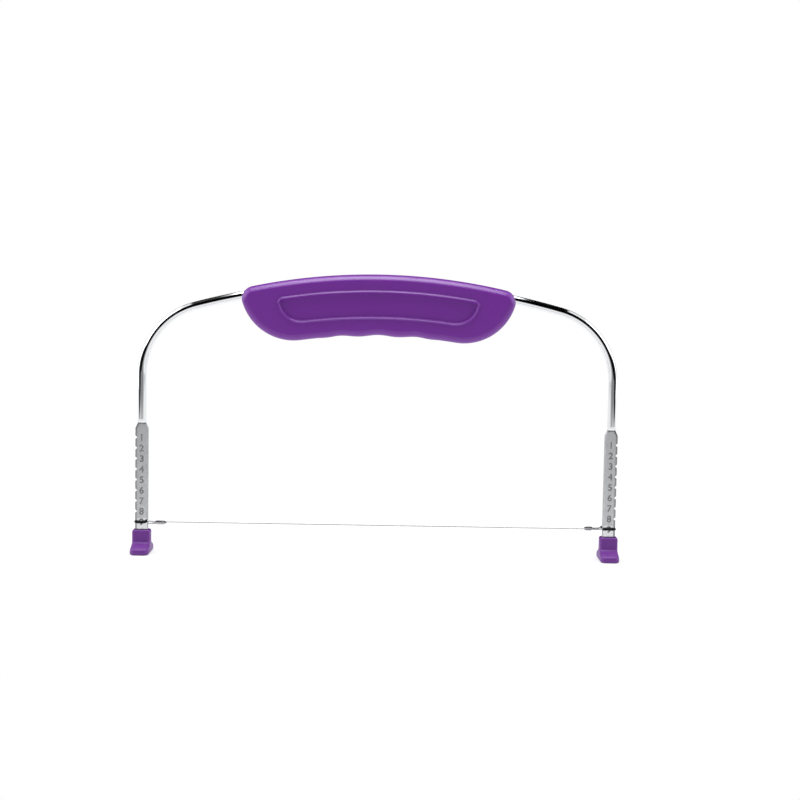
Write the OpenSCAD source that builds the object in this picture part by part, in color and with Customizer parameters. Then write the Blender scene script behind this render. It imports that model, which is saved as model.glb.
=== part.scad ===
// Cake leveler: a bent rod bow with a two-shell grip, notched legs on moulded feet,
// and a cutting wire whose looped ends hook into the notches.
// The bow lies in the XZ plane, the table is z = 0 and the origin is midway between the feet.

/* [Bow] */
// Distance between the centre lines of the two legs
leg_span = 262.4; // [230:0.1:320]
// Height of the rod's centre line at the crown, above the table
bow_h = 152.6; // [148:0.1:175]
// Diameter of the bent rod
rod_d = 4.8; // [4:0.1:5.4]
// Radius of the shallow crown between the two corners
crown_r = 385; // [340:5:460]
// Radius of the bend at each corner
corner_r = 40.4; // [34:0.1:46]

/* [Legs] */
// Width of the flattened leg
leg_w = 7.4; // [6.4:0.1:8.4]
// Thickness of the flattened leg
leg_t = 2.4; // [2:0.1:2.8]
// Height of the sloping shoulder at the top of the flattened part
shoulder_h = 2.8; // [2:0.1:4]
// Height over which the round rod is pinched flat
pinch_h = 1.6; // [1:0.1:2.5]
// Plain length above the highest notch
leg_head = 8; // [6:0.1:12]

/* [Notches] */
// Number of notches in each leg
notch_count = 9; // [4:1:10]
// Distance from one notch to the next
notch_pitch = 5.95; // [5:0.05:6.5]
// Height of the lowest notch above the table
lowest_notch_z = 17.4; // [16.4:0.1:20]
// Depth of a notch
notch_depth = 1.05; // [0.9:0.05:1.3]
// Diameter of the round root of a notch
notch_root_d = 1.4; // [1.35:0.05:1.7]
// Width of a notch at its mouth
notch_mouth = 1.9; // [1.7:0.1:2.6]

/* [Feet] */
// Width of a foot across the bow
foot_w = 10.6; // [9.8:0.1:13]
// Length of a foot from heel to toe
foot_l = 24; // [20:0.5:34]
// Height of a foot
foot_h = 13.2; // [12:0.1:14]
// Thickness of the sleeve that grips the leg, front to back
foot_sleeve_t = 7.4; // [6:0.1:9]
// Height of the toe and heel ends
toe_h = 3.3; // [2.5:0.1:4.2]
// Height at which the ramp of the toe meets the sleeve
ramp_h = 6; // [5:0.1:8]
// Radius of the corners of a foot seen from above
foot_corner_r = 3.2; // [1.5:0.1:4]
// Radius of the upper and lower corners of a foot seen from the front
foot_edge_r = 1.4; // [0.8:0.1:2]
// Depth of plastic under the end of the leg
foot_floor = 2; // [1.5:0.1:3]
// Depth of the pocket round the leg in the top of a foot
foot_pocket = 1.5; // [0.8:0.1:2.4]
// Thickness of the rim round that pocket
foot_rim = 1.2; // [1:0.1:1.6]

/* [Grip] */
// Height of the grip's top above the rod's crown
grip_above_rod = 5.4; // [5:0.1:8]
// Radius of the grip's arched top
grip_r = 330; // [315:5:400]
// Height of the grip at its middle
grip_h = 34; // [31:0.1:38]
// Thickness of the whole grip, front to back
grip_t = 22; // [20:0.5:28]
// Distance between the lowest points of the two end lobes
lobe_span = 94.2; // [88:0.2:106]
// Radius of the rounded lower corner at each end
flank_r = 29.7; // [28:0.1:31]
// Radius of the nose that the rod leaves through
nose_r = 6.9; // [5:0.1:8]
// Width of the rounded edge seen from the front
edge_r = 3.6; // [2:0.1:4]
// Depth of the rounded edge, front to back
edge_depth = 4; // [3:0.1:5]
// Draft of each side wall over its height
draft = 0.3; // [0.1:0.05:0.6]
// Wall of each shell
grip_wall = 2.2; // [1.8:0.1:2.6]
// Thickness of the ribs that cradle the rod
rib_t = 1.6; // [1.2:0.1:2.4]
// Distance between neighbouring ribs
rib_pitch = 25; // [20:1:28]
// Depth of the finger grooves, crest to root
groove_depth = 0.85; // [0.4:0.05:1.2]
// Distance from one finger groove to the next
groove_pitch = 21; // [18:0.5:24]

/* [Recess] */
// Distance from the grip's top to the crest of the bead round the recess
bead_inset = 9.5; // [8.5:0.1:11]
// Height of the recess between bead crests
recess_h = 14.4; // [11:0.1:15]
// Distance between the centres of the recess's end arcs
recess_span = 84.6; // [76:0.1:88]
// Radius of the recess's rounded lower corners
recess_flank_r = 13; // [10:0.1:13.6]
// Radius of the recess's upper corners
recess_nose_r = 2.6; // [2.2:0.1:4]
// Width of the raised bead
bead_w = 1.7; // [1.2:0.1:2.4]
// Height of the bead above the grip's face
bead_h = 0.8; // [0.3:0.05:1]
// Depth of the recess's floor below the grip's face
recess_depth = 0.9; // [0.3:0.05:1.2]

/* [Screws] */
// Distance from the middle to each end screw
screw_x = 64.5; // [62:0.1:66]
// Depth of the end screws below the rod's centre line
screw_drop = 8; // [7.5:0.1:9]
// Depth of the middle screw below the rod's centre line
mid_screw_drop = 15; // [12:0.1:17]
// Diameter of the screw's thread
screw_d = 2.9; // [2.5:0.1:3.2]
// Length of the screw under its head
screw_l = 13; // [11:0.1:14]
// Diameter of the screw's head
screw_head_d = 5.4; // [4.8:0.1:5.8]
// Height of the screw's head
screw_head_h = 2; // [1.6:0.1:2.4]
// Depth of the head's top below the grip's rear face
screw_sink = 2; // [1.5:0.1:3]
// Wall of the boss round a screw
boss_wall = 1.6; // [1.2:0.1:2]

/* [Wire] */
// Diameter of the cutting wire
wire_d = 0.5; // [0.4:0.05:0.6]
// Diameter of the wire that forms the end loops
loop_wire_d = 0.7; // [0.6:0.05:0.75]
// Outside diameter of the dark sleeve on each loop
sleeve_d = 1.25; // [1.15:0.05:1.3]
// Distance from the leg's inner edge to the ferrule
loop_reach = 4.9; // [4:0.1:7]
// Rise of the loop's rear strand beside the leg
loop_splay = 0.9; // [0.6:0.1:1.3]
// Length of the crimped ferrule
ferrule_l = 5.8; // [5:0.1:8]
// Height of the crimped ferrule
ferrule_h = 2.4; // [2.2:0.1:3]
// Thickness of the crimped ferrule, front to back
ferrule_t = 1.5; // [1.4:0.1:2]

/* [Hidden] */
$fn = 48;

fit = 0.05;            // clearance of a piece that is pressed or clamped in place
seat = 0.08;           // clearance between a loop's sleeve and the leg
crown_fn = 360;        // fineness of the rod's shallow crown
bend_fn = 96;          // fineness of its bends
bend_thinning = 0.04;  // the rod is this much thinner where it is bent
bend_lap = 0.4;        // length by which a bend reaches into its neighbours
half_span = leg_span / 2;

// Rod: a crown arc about the middle, tangent to a corner arc at each side
crown_z = bow_h - crown_r;
corner_x = half_span - corner_r;
crown_half_angle = asin(corner_x / (crown_r - corner_r));
corner_z = crown_z + (crown_r - corner_r) * cos(crown_half_angle);
function rod_z(x) = crown_z + sqrt(crown_r * crown_r - x * x);

top_notch_z = lowest_notch_z + (notch_count - 1) * notch_pitch;
leg_top_z = top_notch_z + leg_head;

// Grip: every outline is made of arcs that meet smoothly, round one common centre
grip_top_z = bow_h + grip_above_rod;
grip_centre_z = grip_top_z - grip_r;
face_y = grip_t / 2;
top_steps = 24;
nose_steps = 5;
flank_steps = 9;
bottom_steps = 48;
edge_steps = 4;
bead_steps = 4;

// Finger grooves fade out towards the lobes
groove_reach = 1.15 * groove_pitch;
groove_fade = 0.45 * groove_pitch;
function fade(x) = 1 - min(1, max(0, (abs(x) - groove_reach) / groove_fade));
function groove(x) = groove_depth / 2 * cos(360 * x / groove_pitch) * fade(x);

function on_arc(centre, r, angle) = centre + r * [sin(angle), cos(angle)];

// Closed outline of an arched bar with rounded ends, about a centre at [0, 0].
// r: top radius, h: height, fx: half the distance between the lobes, fr: flank radius,
// nr: nose radius, d: distance that the outline is drawn in, g: 1 where the bottom has grooves
function arched_outline(r, h, fx, fr, nr, d, g) =
    let (
        br = r - h,
        fa = asin(fx / (br + fr)),
        f = on_arc([0, 0], br + fr, fa),
        reach = r - nr,
        na = fa + acos((reach * reach + pow(br + fr, 2) - pow(fr - nr, 2)) / (2 * reach * (br + fr))),
        n = on_arc([0, 0], reach, na),
        turn = atan2(n[0] - f[0], n[1] - f[1]),
        right = concat(
            [for (i = [0 : nose_steps - 1]) on_arc(n, nr - d, na + (turn - na) * i / nose_steps)],
            [for (i = [0 : flank_steps - 1])
                on_arc(f, fr - d, turn + (180 + fa - turn) * i / flank_steps)]
        ),
        bottom = [for (i = [0 : bottom_steps])
            let (a = fa - 2 * fa * i / bottom_steps)
            on_arc([0, 0], br + d + g * groove(br * sin(a)), a)],
        top = [for (i = [1 : top_steps - 1]) on_arc([0, 0], r - d, -na + 2 * na * i / top_steps)]
    )
    concat(right, bottom, [for (i = [len(right) - 1 : -1 : 0]) [-right[i][0], right[i][1]]], top);

function grip_outline(d) =
    arched_outline(grip_r, grip_h, lobe_span / 2, flank_r, nose_r, d, 1);
function bead_outline(d) =
    arched_outline(grip_r - bead_inset, recess_h, recess_span / 2, recess_flank_r, recess_nose_r, d, 0);

// One ring of a grip shell: an outline lifted to a depth y
function ring(outline, y) = [for (p = outline) [p[0], y, p[1] + grip_centre_z]];

// Legs and loops are drawn about the right leg's centre line, with the notched edge at +x
notch_root_x = leg_w / 2 - notch_depth;
loop_turn_x = notch_root_x + sleeve_d / 2 + seat;
loop_side_y = leg_t / 2 + sleeve_d / 2 + seat;
ferrule_x = -leg_w / 2 - loop_reach;
strand_gap = loop_wire_d + 0.15;
strand_grip = 0.42 * ferrule_l;
tube_sides = 10;

// Half of a loop, from the ferrule along one face to the middle of the notched edge.
// side is -1 for the strand in front of the leg, which stays level, and 1 for the one
// behind, which rises
function strand_rise(x) =
    let (t = min(1, max(0, (1.6 - x) / (1.6 + leg_w / 2)))) loop_splay * t * t * (3 - 2 * t);
function loop_half(side) =
    let (
        bend = loop_turn_x - notch_root_x,
        rises = side > 0 ? 1 : 0,
        approach = [for (i = [0 : 6])
            let (t = i / 6, s = t * t * (3 - 2 * t))
            [ferrule_x + (loop_reach + 0.6) * t,
             side * loop_side_y * s,
             side * strand_gap / 2 * (1 - s) + rises * loop_splay * s]],
        along = [for (x = [-leg_w / 2 + 1.4 : 1 : notch_root_x - 0.5])
            [x, side * loop_side_y, rises * strand_rise(x)]],
        round_edge = [for (a = [0 : 22.5 : 90])
            [notch_root_x - 0.1 + (bend + 0.1) * sin(a),
             side * (loop_side_y - (bend + 0.1) * (1 - cos(a))), 0]]
    )
    concat(approach, along, round_edge);
function reversed(list) = [for (i = [len(list) - 1 : -1 : 0]) list[i]];

loop_front = loop_half(-1);
loop_back = loop_half(1);
loop_path = concat(
    [[ferrule_x - strand_grip, 0, -strand_gap / 2]],
    loop_front,
    reversed(loop_back),
    [[ferrule_x - strand_grip, 0, strand_gap / 2]]
);
// The sleeve covers the stretch that lies against the leg
sleeve_first = 6;
sleeve_path = concat(
    [for (i = [sleeve_first : len(loop_front) - 1]) loop_front[i]],
    reversed([for (i = [sleeve_first : len(loop_back) - 1]) loop_back[i]])
);

screw_sites = [
    [-screw_x, rod_z(screw_x) - screw_drop],
    [0, bow_h - mid_screw_drop],
    [screw_x, rod_z(screw_x) - screw_drop]
];
screw_seat_y = face_y - screw_sink - screw_head_h;
boss_d = screw_d + 2 * boss_wall;
well_d = screw_head_d + 0.6;

// Rings of points joined into one closed solid. The first and last rings are capped
module skin(rings) {
    n = len(rings[0]);
    last = len(rings) - 1;
    polyhedron(
        points = [for (r = rings) for (p = r) p],
        faces = concat(
            [[for (i = [0 : n - 1]) i]],
            [for (k = [0 : last - 1]) for (i = [0 : n - 1]) for (half = [0, 1])
                let (a = k * n + i, b = k * n + (i + 1) % n)
                half == 0 ? [b, a, a + n] : [b, a + n, b + n]],
            [[for (i = [n - 1 : -1 : 0]) last * n + i]]
        )
    );
}

// Cross-sections of a tube along a path that stays nearly level
function tube_rings(path, d) = [for (i = [0 : len(path) - 1])
    let (
        before = path[max(0, i - 1)],
        after = path[min(len(path) - 1, i + 1)],
        ahead = (after - before) / norm(after - before),
        across = cross(ahead, [0, 0, 1]) / norm(cross(ahead, [0, 0, 1])),
        up = cross(across, ahead)
    )
    [for (k = [0 : tube_sides - 1])
        let (a = -360 * k / tube_sides)
        path[i] + d / 2 * (cos(a) * across + sin(a) * up)]];

module tube(path, d) skin(tube_rings(path, d));

// Tube with a bore along its whole length
module hollow_tube(path, d, bore) {
    outer = tube_rings(path, d);
    inner = tube_rings(path, bore);
    n = tube_sides;
    m = len(path);
    base = m * n;
    polyhedron(
        points = concat([for (r = outer) for (p = r) p], [for (r = inner) for (p = r) p]),
        faces = concat(
            [for (k = [0 : m - 2]) for (i = [0 : n - 1]) for (half = [0, 1])
                let (a = k * n + i, b = k * n + (i + 1) % n)
                half == 0 ? [b, a, a + n] : [b, a + n, b + n]],
            [for (k = [0 : m - 2]) for (i = [0 : n - 1]) for (half = [0, 1])
                let (a = base + k * n + i, b = base + k * n + (i + 1) % n)
                half == 0 ? [a, b, a + n] : [b, b + n, a + n]],
            [for (end = [0, m - 1]) for (i = [0 : n - 1]) for (half = [0, 1])
                let (
                    j = (i + 1) % n,
                    a = end * n + i, b = end * n + j,
                    c = base + end * n + i, e = base + end * n + j,
                    face = half == 0 ? [a, b, c] : [b, e, c]
                )
                end == 0 ? face : [face[1], face[0], face[2]]]
        )
    );
}

// Stadium outline, round at both ends of its width
module stadium(w, t) {
    square([w - t, t], center = true);
    for (s = [-1, 1]) translate([s * (w - t) / 2, 0]) circle(d = t);
}

// Outline extruded through y, centred
module through_y(t) rotate([90, 0, 0]) linear_extrude(t, center = true) children();

// Outline drawn as [y, z] and extruded through x, centred
module through_x(w) rotate([90, 0, 90]) linear_extrude(w, center = true) children();

// Part of a ring of round rod in the XZ plane, between two angles from +x
module rod_arc(r, d, from, to, fineness)
    rotate([90, 0, 0]) rotate([0, 0, from])
        rotate_extrude(angle = to - from, $fn = fineness)
            translate([r, 0]) circle(d = d, $fn = 36);

module rod_crown(d)
    translate([0, 0, crown_z])
        rod_arc(crown_r, d, 90 - crown_half_angle, 90 + crown_half_angle, crown_fn);

module rod_bend() {
    lap = bend_lap / corner_r * 180 / PI;
    translate([corner_x, 0, corner_z])
        rod_arc(corner_r, rod_d - bend_thinning, -lap, 90 - crown_half_angle + lap, bend_fn);
}

module at_right() translate([half_span, 0, 0]) children();
module at_left() mirror([1, 0, 0]) at_right() children();

// One notch, cut through the leg from its edge
module notch() {
    root_x = notch_root_x + notch_root_d / 2;
    edge_x = leg_w / 2;
    through_y(3 * leg_t) {
        translate([root_x, 0]) circle(d = notch_root_d);
        polygon([
            [root_x, -notch_root_d / 2],
            [edge_x, -notch_mouth / 2],
            [edge_x + 1, -notch_mouth / 2],
            [edge_x + 1, notch_mouth / 2],
            [edge_x, notch_mouth / 2],
            [root_x, notch_root_d / 2]
        ]);
    }
}

// Straight rod, its pinched end and the flattened leg with its notches
module leg() {
    pinch_top = leg_top_z + pinch_h;
    translate([0, 0, pinch_top]) cylinder(d = rod_d, h = corner_z - pinch_top);
    intersection() {
        translate([0, 0, leg_top_z]) cylinder(d = rod_d, h = pinch_h);
        through_x(2 * rod_d) polygon([
            [-leg_t / 2, leg_top_z], [leg_t / 2, leg_top_z],
            [rod_d / 2, pinch_top], [-rod_d / 2, pinch_top]
        ]);
    }
    difference() {
        intersection() {
            translate([0, 0, foot_floor]) linear_extrude(leg_top_z - foot_floor) stadium(leg_w, leg_t);
            through_y(2 * leg_t) polygon([
                [-leg_w / 2, foot_floor], [leg_w / 2, foot_floor],
                [leg_w / 2, leg_top_z - shoulder_h], [rod_d / 2, leg_top_z],
                [-rod_d / 2, leg_top_z], [-leg_w / 2, leg_top_z - shoulder_h]
            ]);
        }
        for (i = [0 : notch_count - 1])
            translate([0, 0, lowest_notch_z + i * notch_pitch]) notch();
    }
}

module bow_rod() color("silver") {
    rod_crown(rod_d);
    rod_bend();
    mirror([1, 0, 0]) rod_bend();
    at_right() leg();
    at_left() leg();
}

// Points of a quarter circle between two directions, for rounded outlines
function corner_points(centre, r, from, to) =
    [for (i = [0 : 5]) centre + r * [cos(from + (to - from) * i / 5), sin(from + (to - from) * i / 5)]];

// Rectangle with rounded corners, as one outline
module rounded_rectangle(low, high, r_low, r_high) {
    polygon(concat(
        corner_points([high[0] - r_low, low[1] + r_low], r_low, -90, 0),
        corner_points([high[0] - r_high, high[1] - r_high], r_high, 0, 90),
        corner_points([low[0] + r_high, high[1] - r_high], r_high, 90, 180),
        corner_points([low[0] + r_low, low[1] + r_low], r_low, 180, 270)
    ));
}

// Boot-shaped foot: a sleeve on the leg, with a ramp down to the toe and the heel
module foot() {
    sole_r = 0.5;
    tip_r = 0.9;
    pocket_r = 0.6;
    tip_turn = 65;
    half = foot_l / 2;
    side = concat(
        corner_points([half - sole_r, sole_r], sole_r, -90, 0),
        corner_points([half - tip_r, toe_h - tip_r], tip_r, 0, tip_turn),
        [[foot_sleeve_t / 2 + 0.9, ramp_h - 0.35], [foot_sleeve_t / 2 + 0.25, ramp_h + 0.3]],
        corner_points([foot_sleeve_t / 2 - tip_r, foot_h - tip_r], tip_r, 0, 90)
    );
    difference() {
        intersection() {
            through_x(2 * foot_w)
                polygon(concat(side, [for (i = [len(side) - 1 : -1 : 0]) [-side[i][0], side[i][1]]]));
            through_y(2 * foot_l)
                rounded_rectangle([-foot_w / 2, 0], [foot_w / 2, foot_h], sole_r, foot_edge_r);
            linear_extrude(foot_h)
                rounded_rectangle(
                    [-foot_w / 2, -foot_l / 2], [foot_w / 2, foot_l / 2], foot_corner_r, foot_corner_r);
        }
        translate([0, 0, foot_floor]) linear_extrude(foot_h)
            stadium(leg_w + 2 * fit, leg_t + 2 * fit);
        translate([0, 0, foot_h - foot_pocket]) linear_extrude(foot_h)
            rounded_rectangle(
                [foot_rim - foot_w / 2, foot_rim - foot_sleeve_t / 2],
                [foot_w / 2 - foot_rim, foot_sleeve_t / 2 - foot_rim], pocket_r, pocket_r);
    }
}

module left_foot() color("rebeccapurple") at_left() foot();
module right_foot() color("rebeccapurple") at_right() foot();

// One half of the closed grip, with its rounded edge, bead and recess. side is -1 in front
module grip_half(side) {
    straight = face_y - edge_depth;
    edge = [for (i = [0 : edge_steps])
        let (a = 90 * i / edge_steps)
        ring(grip_outline(draft + (edge_r - draft) * (1 - cos(a))), straight + edge_depth * sin(a))];
    bead = [for (i = [0 : bead_steps])
        let (a = 180 * i / bead_steps)
        ring(bead_outline(-bead_w / 2 * cos(a)),
             face_y + bead_h * sin(a) - (i == bead_steps ? recess_depth : 0))];
    rings = concat([ring(grip_outline(0), 0)], edge, bead);
    mirror([0, side < 0 ? 1 : 0, 0]) skin(rings);
}

// Hollow of one shell, with its ribs and screw bosses left standing
module grip_hollow(side) {
    depth = face_y - recess_depth - grip_wall;
    mirror([0, side < 0 ? 1 : 0, 0])
        translate([0, 0, grip_centre_z]) rotate([90, 0, 0]) mirror([0, 0, 1])
            translate([0, 0, -1]) linear_extrude(depth + 1) difference() {
                polygon(grip_outline(grip_wall + draft));
                for (i = [-2 : 2])
                    translate([i * rib_pitch - rib_t / 2, 0]) square([rib_t, 2 * grip_r]);
                for (p = screw_sites)
                    translate([p[0], p[1] - grip_centre_z]) circle(d = boss_d);
            }
}

// Bores for the screws, along y
module at_screws(y) for (p = screw_sites) translate([p[0], y, p[1]]) rotate([-90, 0, 0]) children();

module handle_front_shell() color("rebeccapurple") difference() {
    grip_half(-1);
    grip_hollow(-1);
    rod_crown(rod_d + 2 * fit);
    at_screws(screw_seat_y - screw_l - 0.5) cylinder(d = screw_d + 2 * fit, h = screw_l + 1);
}

module handle_rear_shell() color("rebeccapurple") difference() {
    grip_half(1);
    grip_hollow(1);
    rod_crown(rod_d + 2 * fit);
    at_screws(-1) cylinder(d = screw_d + 4 * fit, h = grip_t);
    at_screws(screw_seat_y) cylinder(d = well_d, h = grip_t);
}

// Pan-head screw with a cross recess. Its head is seated at z = 0
module screw() {
    slot_w = 0.9;
    slot_l = 0.6 * screw_head_d;
    difference() {
        union() {
            translate([0, 0, -screw_l]) cylinder(d = screw_d, h = screw_l);
            cylinder(d = screw_head_d, h = screw_head_h);
        }
        for (a = [0, 90]) rotate([0, 0, a])
            translate([-slot_l / 2, -slot_w / 2, screw_head_h / 2]) cube([slot_l, slot_w, screw_head_h]);
    }
}

module handle_screws() color("silver") at_screws(screw_seat_y) screw();

// Places a piece of the wire at the lowest notch
module at_wire() translate([0, 0, lowest_notch_z]) children();

module cutting_wire() color("gainsboro") {
    half = half_span + ferrule_x - ferrule_l + strand_grip;
    at_wire() rotate([0, 90, 0]) cylinder(d = wire_d, h = 2 * half, center = true, $fn = 24);
}

// Oval crimped sleeve: two bores for the loop's ends, one for the cutting wire
module ferrule() {
    translate([ferrule_x, 0, 0]) rotate([0, -90, 0]) difference() {
        linear_extrude(ferrule_l) stadium(ferrule_h, ferrule_t);
        for (s = [-1, 1]) translate([s * strand_gap / 2, 0, -1])
            cylinder(d = loop_wire_d + fit, h = strand_grip + 1, $fn = 24);
        translate([0, 0, ferrule_l - strand_grip]) cylinder(d = wire_d + fit, h = strand_grip + 1, $fn = 24);
    }
}

module left_ferrule() color("dimgray") at_left() at_wire() ferrule();
module right_ferrule() color("dimgray") at_right() at_wire() ferrule();

module left_wire_loop() color("gray") at_left() at_wire() tube(loop_path, loop_wire_d);
module right_wire_loop() color("gray") at_right() at_wire() tube(loop_path, loop_wire_d);

module loop_sleeve() hollow_tube(sleeve_path, sleeve_d, loop_wire_d + 2 * fit);
module left_loop_sleeve() color("black") at_left() at_wire() loop_sleeve();
module right_loop_sleeve() color("black") at_right() at_wire() loop_sleeve();

bow_rod();
left_foot();
right_foot();
handle_front_shell();
handle_rear_shell();
handle_screws();
cutting_wire();
left_ferrule();
right_ferrule();
left_wire_loop();
right_wire_loop();
left_loop_sleeve();
right_loop_sleeve();
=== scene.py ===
"""Looks of a cake leveler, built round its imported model.

The bow is bent from one plated rod whose legs are pressed flat and notched. A two-shell grip
closes over its crown, each leg stands in a moulded foot, and the cutting wire hangs between
the legs by two sleeved loops. All sizes are in metres, in the model's own frame.
"""

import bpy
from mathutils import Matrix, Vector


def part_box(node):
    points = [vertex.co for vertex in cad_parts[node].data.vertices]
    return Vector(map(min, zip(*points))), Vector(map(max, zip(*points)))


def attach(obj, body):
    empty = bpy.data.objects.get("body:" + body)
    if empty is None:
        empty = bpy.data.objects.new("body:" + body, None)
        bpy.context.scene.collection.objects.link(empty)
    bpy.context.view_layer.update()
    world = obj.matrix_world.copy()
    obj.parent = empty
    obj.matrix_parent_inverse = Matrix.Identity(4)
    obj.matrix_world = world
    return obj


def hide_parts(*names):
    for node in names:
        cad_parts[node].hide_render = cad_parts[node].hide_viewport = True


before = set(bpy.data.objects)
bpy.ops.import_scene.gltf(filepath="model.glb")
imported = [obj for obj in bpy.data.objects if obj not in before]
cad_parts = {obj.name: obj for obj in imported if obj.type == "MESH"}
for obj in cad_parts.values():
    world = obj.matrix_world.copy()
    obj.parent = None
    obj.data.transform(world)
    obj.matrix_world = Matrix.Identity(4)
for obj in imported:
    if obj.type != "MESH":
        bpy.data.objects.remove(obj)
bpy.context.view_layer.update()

import logging
from dataclasses import dataclass, field
from enum import Enum
from itertools import pairwise
from math import acos, asin, atan2, copysign, cos, hypot, pi, radians, sin, sqrt
from typing import Callable, Iterable, Sequence

import bmesh
import bpy
from bmesh.types import BMesh, BMEdge, BMVert
from bpy.types import ID, Material, Mesh, Node, NodeSocket, NodeTree, Object, World
from mathutils import Matrix, Vector

log = logging.getLogger("cake_leveler")

MM = 0.001
WELD = 1e-7
SMOOTH_ANGLE = radians(34)
QUARTER_TURN = pi / 2
Y_AXIS = Vector((0, 1, 0))
Z_AXIS = Vector((0, 0, 1))
# Noise rarely leaves this range, so it is stretched over the whole spread of a roughness.
NOISE_LOW, NOISE_HIGH = 0.3, 0.7
# Radius of the flat end of a swept tube, as a share of the tube's own.
TUBE_END = 0.7


class Side(Enum):
    """Left and right of the bow, as the sign of x."""

    LEFT = -1
    RIGHT = 1

    @property
    def word(self) -> str:
        """The side as it stands in the names of pieces."""
        return self.name.lower()


class Half(Enum):
    """Front and rear half of the grip, as the sign of y."""

    FRONT = -1
    REAR = 1


class Body(Enum):
    """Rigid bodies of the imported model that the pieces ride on."""

    FRAME = "frame"
    WIRE = "wire"


# Colour and node helpers


def linear(hex_colour: str) -> tuple[float, float, float, float]:
    """Turns an sRGB hex colour into linear light.

    Args:
        hex_colour: Six hex digits after a hash sign.

    Returns:
        Red, green, blue and an alpha of 1.
    """
    channels = [int(hex_colour[i : i + 2], 16) / 255 for i in (1, 3, 5)]
    light = [c / 12.92 if c <= 0.04045 else ((c + 0.055) / 1.055) ** 2.4 for c in channels]
    return (*light, 1.0)


def per_metre(size_mm: float) -> float:
    """Returns the scale that gives a pattern in metres cells of a size in millimetres."""
    return 1 / (size_mm * MM)


def add_node(
    tree: NodeTree,
    kind: str,
    settings: dict[str, object] | None = None,
    inputs: dict[str | int, object] | None = None,
) -> Node:
    """Adds one node with its settings, values and links.

    Args:
        tree: The tree that gets the node.
        kind: The node's type name after "ShaderNode".
        settings: Values for the node's own properties.
        inputs: A value, a socket to link or a node whose first output is linked, for each
            named or numbered input.

    Returns:
        The new node.
    """
    node = tree.nodes.new("ShaderNode" + kind)
    for name, value in (settings or {}).items():
        setattr(node, name, value)
    for name, value in (inputs or {}).items():
        if isinstance(value, Node):
            value = value.outputs[0]
        if isinstance(value, NodeSocket):
            tree.links.new(value, node.inputs[name])
        else:
            node.inputs[name].default_value = value
    return node


def empty_tree(owner: Material | World) -> NodeTree:
    """Switches a new material or world to nodes and returns its emptied tree."""
    owner.use_nodes = True
    owner.node_tree.nodes.clear()
    return owner.node_tree


# Finishes


@dataclass(frozen=True)
class Finish:
    """A surface finish: a base colour that varies a little, roughness that varies, and bumps.

    Each pattern is noise on Object coordinates, with its cells' sizes in millimetres.
    """

    name: str
    colour: str
    second_colour: str
    cell_mm: float
    roughness: float
    spread: float
    grain_mm: tuple[float, float, float] = (1.0, 1.0, 1.0)
    grain_depth_mm: float = 0.0
    wave_mm: float = 1.0
    wave_depth_mm: float = 0.0
    metallic: float = 1.0
    ior: float = 1.5

    def material(self) -> Material:
        """Builds the material, or returns the one built before.

        Returns:
            The material for this finish.
        """
        known = bpy.data.materials.get(self.name)
        if known is not None:
            return known
        made = bpy.data.materials.new(self.name)
        tree = empty_tree(made)
        where = add_node(tree, "TexCoord").outputs["Object"]
        patches = add_node(tree, "TexNoise", inputs={
            "Vector": where, "Scale": per_metre(self.cell_mm), "Detail": 3.0,
        })
        tint = add_node(tree, "Mix", {"data_type": "RGBA"}, {
            0: patches, 6: linear(self.colour), 7: linear(self.second_colour),
        })
        rough = add_node(tree, "MapRange", inputs={
            "Value": patches, "From Min": NOISE_LOW, "From Max": NOISE_HIGH,
            "To Min": self.roughness - self.spread, "To Max": self.roughness + self.spread,
        })
        shader = add_node(tree, "BsdfPrincipled", inputs={
            "Base Color": tint.outputs[2], "Roughness": rough, "Metallic": self.metallic,
            "IOR": self.ior, **self._relief(tree, where),
        })
        add_node(tree, "OutputMaterial", inputs={"Surface": shader})
        return made

    def _relief(self, tree: NodeTree, where: NodeSocket) -> dict[str, Node]:
        """Adds the broad waves and the grain of the surface as bumps.

        Args:
            tree: The material's tree.
            where: Object coordinates.

        Returns:
            The last bump under its input's name, or nothing on a smooth surface.
        """
        normal = {}
        waves = ((self.wave_mm,) * 3, self.wave_depth_mm, 1.0)
        for cells_mm, depth_mm, detail in (waves, (self.grain_mm, self.grain_depth_mm, 2.0)):
            if depth_mm:
                spot = add_node(tree, "Mapping", inputs={
                    "Vector": where, "Scale": [per_metre(size) for size in cells_mm],
                })
                noise = add_node(tree, "TexNoise", inputs={
                    "Vector": spot, "Scale": 1.0, "Detail": detail,
                })
                normal = {"Normal": add_node(tree, "Bump", inputs={
                    "Height": noise, "Distance": depth_mm * MM, **normal,
                })}
        return normal


# Nickel-chrome plate on drawn steel rod, buffed: mirror bright, with faint lines from drawing.
BRIGHT_PLATE = Finish(
    "nickel_chrome_plate_on_drawn_rod", "#EEEFF1", "#E6E7E9", 9, 0.045, 0.015,
    grain_mm=(0.6, 0.6, 14), grain_depth_mm=0.0003,
)

# The same plate over the leg that the press left dull: grey and cloudy, with a fine pebble.
# The pebble is drawn about three times coarser than the real one, so that it shows.
PRESSED_PLATE = Finish(
    "dull_plate_on_pressed_steel", "#EBECEE", "#D3D4D7", 1.8, 0.5, 0.06,
    grain_mm=(0.45, 0.45, 0.45), grain_depth_mm=0.012,
)

# The foot of the leg, up to just above the loop: smoother plate with a painted highlight.
LOOP_HIGHLIGHT_PLATE = Finish(
    "pressed_plate_painted_highlight", "#F6F6F7", "#E9EAEC", 1.4, 0.24, 0.04,
    grain_mm=(0.8, 0.8, 3), grain_depth_mm=0.002,
)

# Plain edge and rounded corners of the flattened leg: plated over the rough flank that the
# press left, with a darker grey that is painted shade on the rounded edges.
PLAIN_EDGE_SHADE = Finish(
    "press_flank_painted_shade", "#B9BABD", "#A2A3A6", 1.6, 0.42, 0.05,
    grain_mm=(0.45, 0.45, 0.45), grain_depth_mm=0.008,
)
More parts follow.
